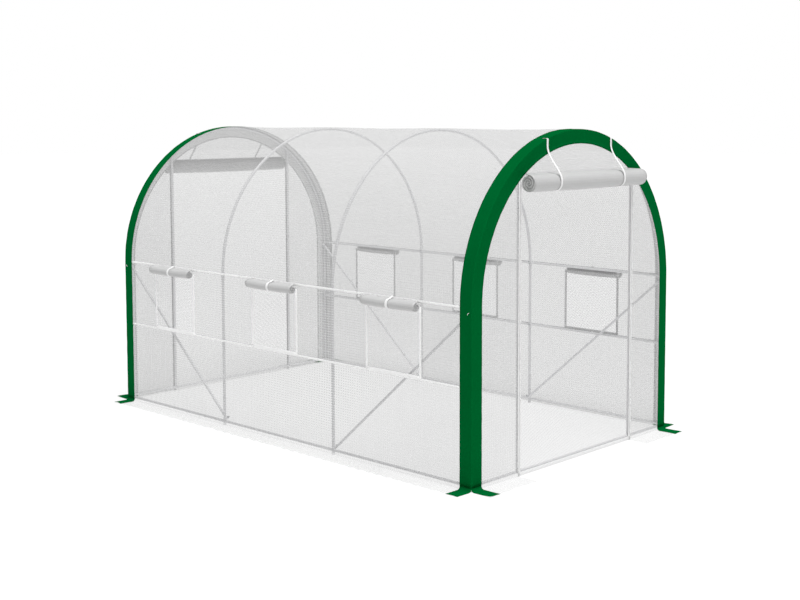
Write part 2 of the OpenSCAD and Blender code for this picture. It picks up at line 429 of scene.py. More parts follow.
def twill(u, v):
    """Height of slanting ribs, one rib in every 2.2 mm."""
    return (u + v).to_nearest(0.0022) / 0.0011


def see_through(paint, opacity, body):
    """Shader that is the body where opacity is 1 and clear where it is 0."""
    clear = paint.add("ShaderNodeBsdfTransparent")
    return paint.add("ShaderNodeMixShader", {}, {0: opacity, 1: clear, 2: body})


def film_finish(name, colour, opacity, through, pitch, crease):
    """Milky reinforced film: a net of thicker threads, soft clouding and fine creases. The share
    through of its light comes through from behind."""
    paint = Paint(name)
    where = paint.place()
    net = threads(*paint.surface_place(), pitch, FILM_THREAD)
    cloud = paint.noise(where, 2.3, 4.0)
    fine = paint.noise(where, (26.0, 26.0, 3.5), 5.0, 0.6)
    tint = paint.shades(colour, (net, 0.9), (cloud * 0.35, 0.9))
    relief = paint.relief((fine, crease), (net, 0.00005))
    body = paint.coat(tint, 0.34 + fine * 0.22, relief, IOR=1.45)
    lit = paint.add("ShaderNodeBsdfTranslucent", {}, {"Color": rgb(colour)})
    body = paint.add("ShaderNodeMixShader", {}, {0: through, 1: body, 2: lit})
    share = opacity - 0.09 * net + (cloud - 0.5) * 0.05 + (fine - 0.5) * 0.08
    return paint.finish(see_through(paint, share, body))


def net_finish(name, colour, pitch, haze, cover):
    """Fine mesh cloth: slanting threads that hide the share cover, with open holes between them, and a
    haze over all for the finer threads."""
    paint = Paint(name)
    u, v = paint.surface_place()
    net = threads(u + v * 0.62, v * 1.18 - u, pitch, MESH_THREAD)
    fuzz = paint.noise(paint.place(), 40.0)
    tint = paint.shades(colour, (fuzz * 0.4, 0.86))
    body = paint.coat(tint, 0.5 + fuzz * 0.2, paint.relief((net, 0.0003)))
    return paint.finish(see_through(paint, haze + net * cover, body))


def rolled_finish(name, colour, pitch, painted_glow):
    """The same film wound up, so thick that nothing shows through. Its painted glow is an even white
    emission that lightens the roll as painted light where it lies in shade."""
    paint = Paint(name)
    net = threads(*paint.surface_place(), pitch, FILM_THREAD)
    fine = paint.noise(paint.place(), (9.0, 9.0, 30.0), 5.0, 0.6)
    tint = paint.shades(colour, (net * 0.5, 1.08), (fine * 0.3, 0.82), base=0.95)
    relief = paint.relief((fine, 0.004), (net, 0.0006))
    return paint.finish(paint.coat(tint, 0.36 + fine * 0.2, relief, Emission_Color=WHITE,
                                   Emission_Strength=painted_glow))


def webbing_finish(name, colour, painted_glow):
    """Woven tape: a twill of slanting ribs. Its painted glow is an even emission in the tape's colour that
    brightens it as painted light."""
    paint = Paint(name)
    u, v = paint.surface_place()
    weave = twill(u, v) * v.to_nearest(0.0016) / 0.0008
    fuzz = paint.noise(paint.place(), 220.0, 2.0)
    tint = paint.shades(colour, (weave * 0.5, 1.05), (fuzz * 0.25, 0.85), base=0.9)
    return paint.finish(paint.coat(tint, 0.72, paint.relief((weave, 0.0005)), Emission_Color=rgb(colour),
                                   Emission_Strength=painted_glow))


def band_finish(name, colour):
    """Green woven tarpaulin: small flat tapes over and under, and rows of stitches along both edges."""
    paint = Paint(name)
    u, v = paint.surface_place()
    where = paint.place()
    weave = threads(u, v, 0.0032, 0.0016)
    cloud = paint.noise(where, 5.0, 4.0)
    fine = paint.noise(where, 60.0)
    row = stitches(u, v, 0.008).either(stitches(u, v, 0.011)).either(stitches(u, v, 0.168))
    tint = paint.shades(colour, (weave * 0.4, 0.8), (cloud * 0.4, 1.25))
    tint = paint.mix(row * 0.5, tint, rgb((0.0, 0.16, 0.05)))
    relief = paint.relief((fine, 0.0012), (weave, 0.0003), (row, 0.0008))
    return paint.finish(paint.coat(tint, 0.42 + fine * 0.22, relief, Specular_IOR_Level=0.0))


def steel_finish(name, colour, shine, painted_glow):
    """Thin zinc or powder coat on steel: small spangles and dull patches. Its painted glow is an even
    emission in the coat's colour that lightens the tubes as painted light where they lie in shade."""
    paint = Paint(name)
    where = paint.place()
    spangle = paint.add("ShaderNodeTexVoronoi", {"feature": "F1"}, {"Vector": where, "Scale": 90.0}, "Color")
    grey = paint.add("ShaderNodeRGBToBW", {}, {0: spangle})
    cloud = paint.noise(where, 14.0, 4.0)
    tint = paint.shades(colour, (grey * 0.35, 0.84), (cloud * 0.25, 1.1))
    return paint.finish(paint.coat(tint, 0.3 + cloud * 0.25, paint.relief((cloud, 0.0006)), Metallic=shine,
                                   Emission_Color=rgb(colour), Emission_Strength=painted_glow))


def zip_finish(name, colour):
    """Coil zip: a row of small teeth along the middle of a woven tape. v runs across the tape."""
    paint = Paint(name)
    u, v = paint.surface_place()
    row = v.away_from(0.0125).fades(0.003, 0.0042)
    teeth = u.to_nearest(0.003).fades(0.0007, 0.0011).both(row)
    relief = paint.relief((twill(u, v), 0.0004), (teeth, 0.0012))
    return paint.finish(paint.coat(paint.shades(colour, (row * 0.6, 0.72)), 0.62 - teeth * 0.2, relief))


def floor_finish(name, colour):
    """Plain pale floor of a light table: it glows evenly, so that shadows on it stay faint."""
    paint = Paint(name)
    cloud = paint.noise(paint.place(), 0.7, 2.0)
    tint = paint.shades(colour, (cloud * 0.2, 0.98))
    return paint.finish(paint.coat(tint, 0.9, None, Specular_IOR_Level=0.0, Emission_Color=WHITE,
                                   Emission_Strength=0.74))


def finishes(context):
    """A function that gives a finish by its name. Each is made once."""
    colours = context.scene.tunnel_colours
    sizes = context.scene.tunnel_sizes
    pitch = sizes.thread_pitch
    table = {
        "film": (film_finish, colours.film, 0.41, 0.5, pitch, 0.0006),
        "skirt": (film_finish, colours.skirt, 0.40, 0.35, pitch, 0.0012),
        "door_net": (net_finish, colours.door_net, sizes.net_pitch, 0.04, 0.30),
        "window_net": (net_finish, colours.window_net, sizes.net_pitch, 0.09, 0.33),
        "rolled": (rolled_finish, colours.rolled, pitch, 0.0),
        # rolled_rear is the rolled film with a painted glow: a lit copy for the rear roll, which lies in
        # shade.
        "rolled_rear": (rolled_finish, colours.rolled, pitch, 0.08),
        # Straps, ties and hooks carry a painted glow. The seam tape's outer face carries more; its back face
        # and the band's back carry none.
        "webbing": (webbing_finish, colours.tape, 0.08),
        "seam_tape": (webbing_finish, colours.tape, 0.16),
        "seam_back": (webbing_finish, colours.tape, 0.0),
        "band": (band_finish, colours.band),
        "band_back": (webbing_finish, colours.back, 0.0),
        # The tube finish carries a small painted glow that lightens the tubes in shade. The zinc has none.
        "tube": (steel_finish, colours.tube, 0.0, 0.02),
        "zinc": (steel_finish, colours.zinc, 0.9, 0.0),
        "zip": (zip_finish, colours.tape),
        "floor": (floor_finish, colours.floor),
    }

    def finish(name):
        full_name = f"tunnel_{name}"
        kind, *values = table[name]
        return bpy.data.materials.get(full_name) or kind(full_name, *values)

    return finish


# ---- settings ----


def length(name, description, default, **limits):
    return FloatProperty(name=name, description=description, default=default, unit="LENGTH",
                         subtype="DISTANCE", **limits)


def colour(name, description, default):
    return FloatVectorProperty(name=name, description=description, default=default, subtype="COLOR",
                               size=3, min=0, max=1)


def angle(name, description, degrees):
    return FloatProperty(name=name, description=description, default=math.radians(degrees), subtype="ANGLE")


class TunnelSizes(bpy.types.PropertyGroup):
    """Sizes of the cloth, tape and rolls that the frame doesn't fix."""

    thread_pitch: length("Film net", "Distance between the threads that reinforce the film", 0.016)
    net_pitch: length("Mesh", "Distance between the slanting threads of doors and windows", 0.012)
    sag: length("Sag", "How far the roof film sinks between two hoops", 0.006)
    pleat: length("Pleats", "Depth of the fine upright pleats in the walls", 0.0010)
    door_roll_d: length("Door roll", "Diameter of a rolled-up door", 0.106)
    window_roll_d: length("Window roll", "Diameter of a rolled-up window cover", 0.056)
    door_layer: length("Door layer", "Thickness of one turn of a door roll with its folds", 0.0046)
    window_layer: length("Window layer", "Thickness of one turn of a window roll with its folds", 0.0044)
    strap_w: length("Strap", "Width of a door strap", 0.016)
    tie_w: length("Tie", "Width of the loop that holds a window roll", 0.020)
    tape_w: length("Edge tape", "Width of the tape sewn round a window", 0.018)
    seam_w: length("Seam tape", "Width of the tape on the film along the two upper rails", 0.013)
    zip_w: length("Zip tape", "Width of the zip tape beside a doorway", 0.025)
    hem_w: length("Hem", "Width of the folded hem of a green band", 0.013)
    band_t: length("Band", "Thickness of the green band", 0.0012)


class TunnelColours(bpy.types.PropertyGroup):
    """Colours of the finishes."""

    film: colour("Film", "Milky cover film", (0.61, 0.61, 0.61))
    skirt: colour("Skirt", "Film that lies on the ground", (0.74, 0.74, 0.74))
    door_net: colour("Door mesh", "Mesh in the doorways", (0.34, 0.34, 0.345))
    window_net: colour("Window mesh", "Mesh in the windows", (0.48, 0.48, 0.485))
    rolled: colour("Rolled film", "Film wound into rolls", (0.58, 0.58, 0.58))
    tape: colour("Tape", "Straps, ties and edge tapes", (0.96, 0.96, 0.96))
    band: colour("Band", "Green bands and corner flaps", (0.0, 0.118, 0.0245))
    back: colour("Band back", "Inner side of the green bands", (0.95, 0.95, 0.95))
    tube: colour("Tube", "Coated steel tube", (0.80, 0.80, 0.81))
    zinc: colour("Bolts", "Zinc-plated bolts and nuts", (0.62, 0.63, 0.64))
    floor: colour("Floor", "Plain floor", (0.26, 0.26, 0.26))


class TunnelView(bpy.types.PropertyGroup):
    """The camera."""

    place: FloatVectorProperty(name="Place", description="Where the camera stands", size=3,
                               default=(-6.188, -6.281, 2.118), subtype="TRANSLATION", unit="LENGTH")
    heading: FloatProperty(name="Heading", description="Turn from +Y to the left", default=-0.8244,
                           subtype="ANGLE")
    dip: FloatProperty(name="Dip", description="How far it looks down", default=0.0819, subtype="ANGLE")
    lens: FloatProperty(name="Lens", description="Focal length on a 36 mm wide frame", default=55.99,
                        subtype="DISTANCE_CAMERA")
    shift_x: FloatProperty(name="Shift right", description="Share of the frame's width", default=-0.05)
    shift_y: FloatProperty(name="Shift up", description="Share of the frame's width", default=-0.10)


class TunnelLight(bpy.types.PropertyGroup):
    """The light of the stage."""

    room: FloatProperty(name="Room", description="Strength of the even light", default=0.26, min=0)
    top: FloatProperty(name="Top light", description="Strength of the light from above", default=3.35,
                       min=0)
    softness: angle("Softness", "Width of the top light", 45)
    from_left: angle("From the left", "Lean of the top light to the left", -6)
    from_front: angle("From the front", "Lean of the top light to the front", 16)


# ---- operators ----

FLOOR_REACH = 60.0  # from the middle of the floor to its edges
FILM_TUCK = 0.02  # how far the cover goes under each band
END_TUCK = 0.008  # how far an end panel goes under its band
SLEEVE_L = 0.07  # length of a joint sleeve
NET_BELLY = {"door": 0.004, "window": 0.002}  # how far the middle of a net hangs inwards
TIE_GAP = 0.0025  # from a window roll to the outer side of its tie
STRAP_OUT = 0.0028  # from the end face to the middle of a strap
TAPE_OUT = 0.0006  # from the film to the outer side of tapes and zips
SEAM_OUT = 0.0002  # the same for the tapes along the rails
BAND_CORNER = 0.005  # radius of the corner of a band
HEM_STEP = 0.001  # width of the step where a hem ends
GROUND_GAP = 0.0022  # from the ground to the sheets that lie on it
STRAP_T = 0.0012  # thickness of a door strap
TIE_T = 0.0010  # thickness of a window tie
TAPE_T = 0.0008  # thickness of sewn tapes and zips


class TunnelOperator:
    """What the operators share: an operator is undone as one step."""

    bl_options = {"REGISTER", "UNDO"}


class TUNNEL_OT_stage(TunnelOperator, bpy.types.Operator):
    """Add the floor, the light and the camera"""

    bl_idname = "tunnel.stage"
    bl_label = "Stage"

    def execute(self, context):
        corners = [(-FLOOR_REACH, -FLOOR_REACH, 0), (FLOOR_REACH, -FLOOR_REACH, 0),
                   (FLOOR_REACH, FLOOR_REACH, 0), (-FLOOR_REACH, FLOOR_REACH, 0)]
        mesh = bpy.data.meshes.new("floor")
        mesh.from_pydata(corners, [], [(0, 1, 2, 3)])
        mesh.materials.append(finishes(context)("floor"))
        floor = bpy.data.objects.new("floor", mesh)
        context.scene.collection.objects.link(floor)

        self.studio(context)

        view = context.scene.tunnel_view
        lens = bpy.data.cameras.new("camera")
        lens.sensor_width = 36.0
        lens.lens = view.lens
        lens.shift_x = view.shift_x
        lens.shift_y = view.shift_y
        camera = bpy.data.objects.new("camera", lens)
        camera.matrix_world = (Matrix.Translation(view.place) @ Matrix.Rotation(view.heading, 4, "Z")
                               @ Matrix.Rotation(math.pi / 2 - view.dip, 4, "X"))
        context.scene.collection.objects.link(camera)
        context.scene.camera = camera
        return {"FINISHED"}

    def studio(self, context):
        """A white room that gives a weak even light, and a wide soft light from above."""
        light = context.scene.tunnel_light
        world = bpy.data.worlds.new("studio")
        world.use_nodes = True
        nodes = world.node_tree.nodes
        links = world.node_tree.links
        lit = nodes["Background"]
        lit.inputs["Color"].default_value = WHITE
        lit.inputs["Strength"].default_value = light.room
        seen = nodes.new("ShaderNodeBackground")
        seen.inputs["Color"].default_value = WHITE
        rays = nodes.new("ShaderNodeLightPath")
        either = nodes.new("ShaderNodeMixShader")
        links.new(rays.outputs["Is Camera Ray"], either.inputs[0])
        links.new(lit.outputs[0], either.inputs[1])
        links.new(seen.outputs[0], either.inputs[2])
        links.new(either.outputs[0], nodes["World Output"].inputs["Surface"])
        context.scene.world = world
        context.scene.view_settings.view_transform = "Standard"
        lamp = bpy.data.lights.new("top_light", "SUN")
        lamp.energy = light.top
        lamp.angle = light.softness
        above = bpy.data.objects.new("top_light", lamp)
        above.matrix_world = (Matrix.Rotation(light.from_left, 4, "Y")
                              @ Matrix.Rotation(light.from_front, 4, "X"))
        context.scene.collection.objects.link(above)


class TUNNEL_OT_frame(TunnelOperator, bpy.types.Operator):
    """Finish the tube frame and add its bolts and joint sleeves"""

    bl_idname = "tunnel.frame"
    bl_label = "Tube frame"

    def execute(self, context):
        finish = finishes(context)
        for subpart in frame["record"]["subparts"]:
            if subpart["material_slot"] == "tube":
                node = frame["nodes"][subpart["node"]]
                # The frame's tubes take the tube finish with its painted glow.
                node.data.materials.clear()
                node.data.materials.append(finish("tube"))
        piece("frame_bolts", list(self.bolts()), finish("zinc"), weld=True)
        piece("hoop_sleeves", list(self.sleeves()), finish("tube"), weld=True)
        return {"FINISHED"}

    def bolts(self):
        """A washer, a hexagon nut and a bolt end at each crossing of a leg and a rail, and at each end
        of a brace, on the inside."""
        profile = [(0, 0), (0.009, 0), (0.009, 0.0014), (0.0062, 0.0014), (0.0062, 0.0068),
                   (0.0052, 0.0076), (0.0034, 0.0076), (0.0034, 0.0118), (0.0026, 0.0128), (0, 0.0128)]
        base, _, upper = RAIL_Z
        feet = [(y, base + 0.022) for y in HOOP_Y[1:3]]
        heads = [(y * (1 - 0.02 / END_Y), upper - 0.03) for y in (HOOP_Y[0], HOOP_Y[3])]
        with_brace = [(y, base) for y in HOOP_Y[1:3]] + [(y, upper) for y in (HOOP_Y[0], HOOP_Y[3])]
        crossings = [(y, z) for y in HOOP_Y for z in RAIL_Z if (y, z) not in with_brace]
        for side in (-1, 1):
            for face, places in ((HOOP_X - HOOP_R, crossings), (BRACE_X - RAIL_R, feet + heads)):
                for y, z in places:
                    yield turned(profile, (side * face, y, z), (-side, 0, 0), hexed=(3, 4, 5))

    def sleeves(self):
        """Short sleeves where the lengths of a hoop are joined: a tube a little wider than the hoop,
        along the arc at five places."""
        half = SLEEVE_L / 2 / HOOP_X
        t = np.linspace(0, 3, 13)
        radius = HOOP_R + np.interp(t, [0, 1, 2, 3], [0, 0.0006, 0.0006, 0])
        for y in HOOP_Y:
            for angle in np.radians([0, 45, 90, 135, 180]):
                turn = angle + np.array([-half, -half * 0.96, half * 0.96, half])
                turn = np.interp(t, [0, 1, 2, 3], turn)
                path = np.stack([HOOP_X * np.cos(turn), np.full(len(t), y),
                                 LEG_H + HOOP_X * np.sin(turn)], -1)
                yield tube(path, radius, 20)


class TUNNEL_OT_cover(TunnelOperator, bpy.types.Operator):
    """Add the film over the sides and roof as one sheet"""

    bl_idname = "tunnel.cover"
    bl_label = "Cover sheet"

    def execute(self, context):
        sizes = context.scene.tunnel_sizes
        rises = np.array([BEND_Z, WINDOW_Z0, WINDOW_Z1, LEG_H])
        s = steps(*rises, *(OUTLINE_END - rises[::-1]), pitch=0.030)
        end = FILM_Y + FILM_TUCK
        y = -steps(-end, *WINDOW_Y.ravel(), end, pitch=0.0080)
        around = s[None, :]
        along = y[:, None]
        x, z, out_x, out_z = outline(around, ROOF_R + BACK_FACE)
        up = np.minimum(around, OUTLINE_END - around)
        inward = self.hang(sizes, along, around, up)
        points = np.stack(np.broadcast_arrays(x - out_x * inward, along, z - out_z * inward), -1)
        middle_y = (y[1:] + y[:-1])[:, None] / 2
        middle_s = (s[1:] + s[:-1])[None, :] / 2
        middle_up = np.minimum(middle_s, OUTLINE_END - middle_s)
        in_row = (middle_up > WINDOW_Z0) & (middle_up < WINDOW_Z1)
        in_column = np.any([(middle_y > a) & (middle_y < b) for a, b in WINDOW_Y], axis=0)
        sheet = grid(points, pair(along, around), ~(in_row & in_column))
        made = piece("cover_sheet", [sheet], finishes(context)("film"),
                     ("left_side_cover", "right_side_cover", "roof_cover"))
        return {"FINISHED"}

    def hang(self, sizes, along, around, up):
        """How far the film is inside its outer face: it sinks between hoops and between rails, and
        fine pleats run up the walls and round the roof. It stays taut at bands and window edges."""
        bay = between(along, HOOP_Y)
        wall = smooth(LEG_H - up, 0, 0.2)
        level = between(up, [BEND_Z, RAIL_Z[1], RAIL_Z[2]])
        sag = sizes.sag * bay * (1 - wall) + 0.55 * sizes.sag * bay * wall * level
        edge = smooth(FILM_Y - np.abs(along), 0.0, 0.10)
        taut = 1 - 0.8 * np.max([bump(along, mark, 0.03) for mark in WINDOW_Y.ravel()], axis=0) * wall
        pleats = (waves(3, along, up, 0.085, 2.2) * wall
                  + 0.7 * waves(4, along, around, 0.30, 1.6) * (1 - wall))
        ripples = 0.8 * waves(5, around, along, 0.16, 2.5) * (1 - wall)
        loose = 0.45 + 0.55 * (1 - bump(bay, 0, 0.25))
        return (sag + sizes.pleat * taut * (pleats + ripples) * loose) * edge


class TUNNEL_OT_ends(TunnelOperator, bpy.types.Operator):
    """Add the end panels, each one sheet round its doorway"""

    bl_idname = "tunnel.ends"
    bl_label = "End panels"

    def execute(self, context):
        rim = OPENING_R + END_TUCK
        side = steps(BEND_Z, DOOR_Z1, pitch=0.022)
        top = steps(-POST_X, POST_X, pitch=0.022)
        reach = np.sqrt(np.maximum(rim**2 - np.maximum(side - LEG_H, 0) ** 2, 0))
        rise = LEG_H + np.sqrt(rim**2 - top**2)
        post = np.full(len(side), POST_X)
        inner_x = np.concatenate([-post, top, post])
        inner_z = np.concatenate([side, np.full(len(top), DOOR_Z1), side[::-1]])
        outer_x = np.concatenate([-reach, top, reach[::-1]])
        outer_z = np.concatenate([side, rise, side[::-1]])
        share = np.linspace(0, 1, 22)[None, :]
        x = inner_x[:, None] + share * (outer_x - inner_x)[:, None]
        z = inner_z[:, None] + share * (outer_z - inner_z)[:, None]
        for number, face in enumerate(("front", "rear")):
            pleats = waves(20 + number, x, z, 0.11, 1.6) + 0.6 * waves(24 + number, z, x, 0.3, 0.9)
            points = on_face(face, x, BACK_FACE + 0.0006 * pleats, z)
            made = piece(f"{face}_end_sheet", [grid(points, pair(x, z))], finishes(context)("film"),
                         [f"{face}_{part}_panel" for part in ("left", "right", "top")])
        return {"FINISHED"}


class TUNNEL_OT_screens(TunnelOperator, bpy.types.Operator):
    """Add the mesh in the doorways and windows"""

    bl_idname = "tunnel.screens"
    bl_label = "Mesh screens"

    def execute(self, context):
        finish = finishes(context)
        for number, face in enumerate(("front", "rear")):
            x = steps(-POST_X, POST_X, pitch=0.02)[:, None]
            z = steps(DOOR_Z0, DOOR_Z1, pitch=0.02)[None, :]
            made = piece(f"{face}_door_net", [self.net(face, x, z, 40 + number, NET_BELLY["door"])],
                         finish("door_net"), [f"{face}_door_screen"])
        for number, face in enumerate(("left", "right")):
            z = steps(WINDOW_Z0, WINDOW_Z1, pitch=0.015)[None, :]
            nets = [self.net(face, steps(a, b, pitch=0.015)[:, None], z, 50 + 10 * number + window,
                             NET_BELLY["window"]) for window, (a, b) in enumerate(WINDOW_Y)]
            made = piece(f"{face}_window_nets", nets, finish("window_net"),
                         [f"{face}_window_screens"])
        return {"FINISHED"}

    def net(self, face, along, up, seed, depth):
        """A flat net that bellies inwards: the depth times a sine across and a sine up, with ripples."""
        across = (along - along.min()) / np.ptp(along)
        height = (up - up.min()) / np.ptp(up)
        belly = np.sin(np.pi * across) * np.sin(np.pi * height)
        ripple = waves(seed, along, up, 0.16, 0.9) * np.sqrt(np.clip(belly, 0, 1))
        return grid(on_face(face, along, BACK_FACE - depth * belly + 0.0012 * ripple, up), pair(along, up))


class TUNNEL_OT_rolls(TunnelOperator, bpy.types.Operator):
    """Add the rolled-up doors and window covers"""

    bl_idname = "tunnel.rolls"
    bl_label = "Rolled covers"

    def execute(self, context):
        sizes = context.scene.tunnel_sizes
        finish = finishes(context)
        for number, face in enumerate(("front", "rear")):
            node = f"{face}_door_roll"
            half = high(node, "x")
            strap = high(f"{face}_door_straps", "x") - sizes.strap_w / 2
            radius = sizes.door_roll_d / 2
            roll, flat = self.roll(face, (-half, half), far(node, "y") - END_Y - radius, node, radius, 9,
                                   (-strap, strap), 60 + number)
            # The rear roll takes the copy with painted glow, which lightens it where it lies in shade.
            look = finish("rolled" if face == "front" else "rolled_rear")
            made = piece(f"{face}_door_cover", [roll], look, [node], thick=sizes.door_layer)
        for number, face in enumerate(("left", "right")):
            node = f"{face}_window_rolls"
            radius = sizes.window_roll_d / 2
            spare = high(node, "y") - WINDOW_Y[-1, 1]
            rolls = []
            for window, (a, b) in enumerate(WINDOW_Y):
                roll, flat = self.roll(face, (a - spare, b + spare), far(node, "x") - ROOF_R - radius, node,
                                       radius, 5, ((a + b) / 2,), 70 + 10 * number + window)
                rolls.append(roll)
            made = piece(f"{face}_window_covers", rolls, finish("rolled"), [node],
                         thick=sizes.window_layer)
        return {"FINISHED"}

    def roll(self, face, span, out, node, radius, turns, ties, seed):
        """A sheet that leaves the wall, lies over the roll's top and winds in: its radius falls evenly
        from the outside to the core as the angle from the top grows. Each tie pinches it, its layers
        end a little apart, it sags between ties and narrows towards the wall. Gives the patch and the
        sheet's length."""
        centre_z = low(node, "z") + radius
        rise = high(node, "z") - centre_z
        core = 0.10 * radius + 0.002
        phi = np.linspace(turns * 2 * np.pi, 0, turns * 30 + 1)
        r = radius - (radius - core) * phi / phi[0]
        tail = np.linspace(0, 1, 9)[1:]
        tail_out = out * (1 - tail)
        tail_z = centre_z + radius + (rise - radius) * tail * tail * (3 - 2 * tail)
        a = steps(*span, pitch=0.018)
        share = ((a - span[0]) / np.ptp(span))[:, None]
        along = a[:, None]
        pinch = np.max([bump(along, tie, 0.022) for tie in ties], axis=0)
        squeeze = 1 - 0.07 * pinch + 0.012 * waves(seed, along, phi[None, :] * radius, 0.22, 0.5)
        droop = 0.004 * np.sin(np.pi * share) - 0.0015 * pinch
        roll_out = out + r * squeeze * np.sin(phi)
        roll_z = centre_z + r * squeeze * np.cos(phi) - droop
        top = centre_z + radius * squeeze[:, -1:] - droop
        flat_z = top + (tail_z - centre_z - radius) + tail * (centre_z + radius - top)
        outs = np.concatenate([roll_out, np.broadcast_to(tail_out, flat_z.shape)], 1)
        ups = np.concatenate([roll_z, flat_z], 1)
        wound = np.concatenate([phi, -tail])
        slip = 0.004 * np.sin(1.7 * wound) * (2 * share - 1) ** 3
        shrink = 1 - 0.012 * (wound > 0) - 0.08 * np.clip(-wound, 0, 1)
        along = (along - np.mean(span)) * shrink + np.mean(span) + slip
        path = np.stack([np.concatenate([r * np.sin(phi) + out, tail_out]),
                         np.concatenate([r * np.cos(phi) + centre_z, tail_z])], -1)
        run = distances(path)
        return grid(on_face(face, along, outs, ups), pair(along, run)), run[-1]


class TUNNEL_OT_straps(TunnelOperator, bpy.types.Operator):
    """Add the door straps and the window tie loops"""

    bl_idname = "tunnel.straps"
    bl_label = "Straps and ties"

    def execute(self, context):
        sizes = context.scene.tunnel_sizes
        finish = finishes(context)
        for face in ("front", "rear"):
            node = f"{face}_door_straps"
            place = high(node, "x") - sizes.strap_w / 2
            path = self.strap_path(sizes, face, place)
            ribbons = [self.ribbon(face, s * place, sizes.strap_w, path) for s in (-1, 1)]
            made = piece(f"{face}_strap_pair", ribbons, finish("webbing"), [node],
                         thick=STRAP_T)
            run = distances(path)[-1]
        for face in ("left", "right"):
            node = f"{face}_window_ties"
            radius = sizes.window_roll_d / 2 + 0.0012
            out = far(node, "x") - ROOF_R - sizes.window_roll_d / 2 - TIE_GAP
            centre_z = low(node, "z") + sizes.window_roll_d / 2 + TIE_GAP
            angle = np.radians(np.linspace(205, 5, 34))
            loop = np.stack([out + radius * np.sin(angle), centre_z + radius * np.cos(angle)], -1)
            t = np.linspace(0, 1, 8)[1:]
            lead = np.stack([loop[-1, 0] + t * (TIE_T + 0.0002 - loop[-1, 0]),
                             loop[-1, 1] + 0.014 * smooth(t, 0, 1)], -1)
            path = np.concatenate([loop, lead])
            ribbons = [self.ribbon(face, y, sizes.tie_w, path) for y in WINDOW_Y.mean(axis=1)]
            made = piece(f"{face}_tie_loops", ribbons, finish("webbing"), [node], thick=TIE_T)
            run = distances(path)[-1]
        hooks = [self.hook(side, end) for side in (-1, 1) for end in (-1, 1)]
        piece("band_hooks", hooks, finish("webbing"), weld=True)
        return {"FINISHED"}

    def hook(self, side, end):
        """A small slanting hook through the band beside the upper rail: a tube along a low bow whose
        ends sink into the band."""
        t = np.linspace(0, 1, 17)
        out = ROOF_R - 0.002 + 0.006 * np.sin(np.pi * t)
        along = END_Y - 0.034 + 0.014 * t
        up = RAIL_Z[2] - 0.038 + 0.015 * t
        path = np.stack([side * out, end * along, up], -1)
        return tube(path, 0.0015 * np.sqrt(np.clip(np.sin(np.pi * t) * 3, 0.01, 1)), 10)

    def strap_path(self, sizes, face, place):
        """Distance out from the face and height, from the strap's end under the roll: round the
        roll's front, an S back to the face, up over the band's corner and on to its top."""
        radius = sizes.door_roll_d / 2 + 0.0016
        node = f"{face}_door_roll"
        out = far(node, "y") - END_Y - sizes.door_roll_d / 2
        centre_z = low(node, "z") + sizes.door_roll_d / 2
        roof_z = LEG_H + math.sqrt(ROOF_R**2 - place**2)
        angle = np.radians(np.linspace(190, 84, 22))
        wrap = np.stack([out + radius * np.sin(angle), centre_z + radius * np.cos(angle)], -1)
        t = np.linspace(0, 1, 26)[1:]
        reach = wrap[-1, 0] - STRAP_OUT
        lift = np.stack([STRAP_OUT + reach * (1 - smooth(t, 0.0, 0.85)),
                         wrap[-1, 1] + t * (roof_z - 0.006 - wrap[-1, 1])], -1)
        turn = np.radians(np.linspace(0, 90, 6)[1:])
        corner = np.stack([-0.004 + 0.0068 * np.cos(turn), roof_z - 0.006 + 0.0078 * np.sin(turn)], -1)
        back = np.stack([np.linspace(-0.004, -0.034, 6)[1:], np.full(5, roof_z + 0.0018)], -1)
        return np.concatenate([wrap, lift, corner, back])

    def ribbon(self, face, place, width, path):
        """A flat band across a path: the path moved by each distance across its width, and swaying a
        little from side to side where it hangs free."""
        across = np.linspace(-0.5, 0.5, 5)[:, None]
        run = distances(path)[None, :]
        sway = 0.0022 * np.sin(run * 21) * smooth(run, 0.12, 0.2)
        points = on_face(face, place + across * width + sway, path[None, :, 0], path[None, :, 1])
        return grid(points, pair(run, across * width))


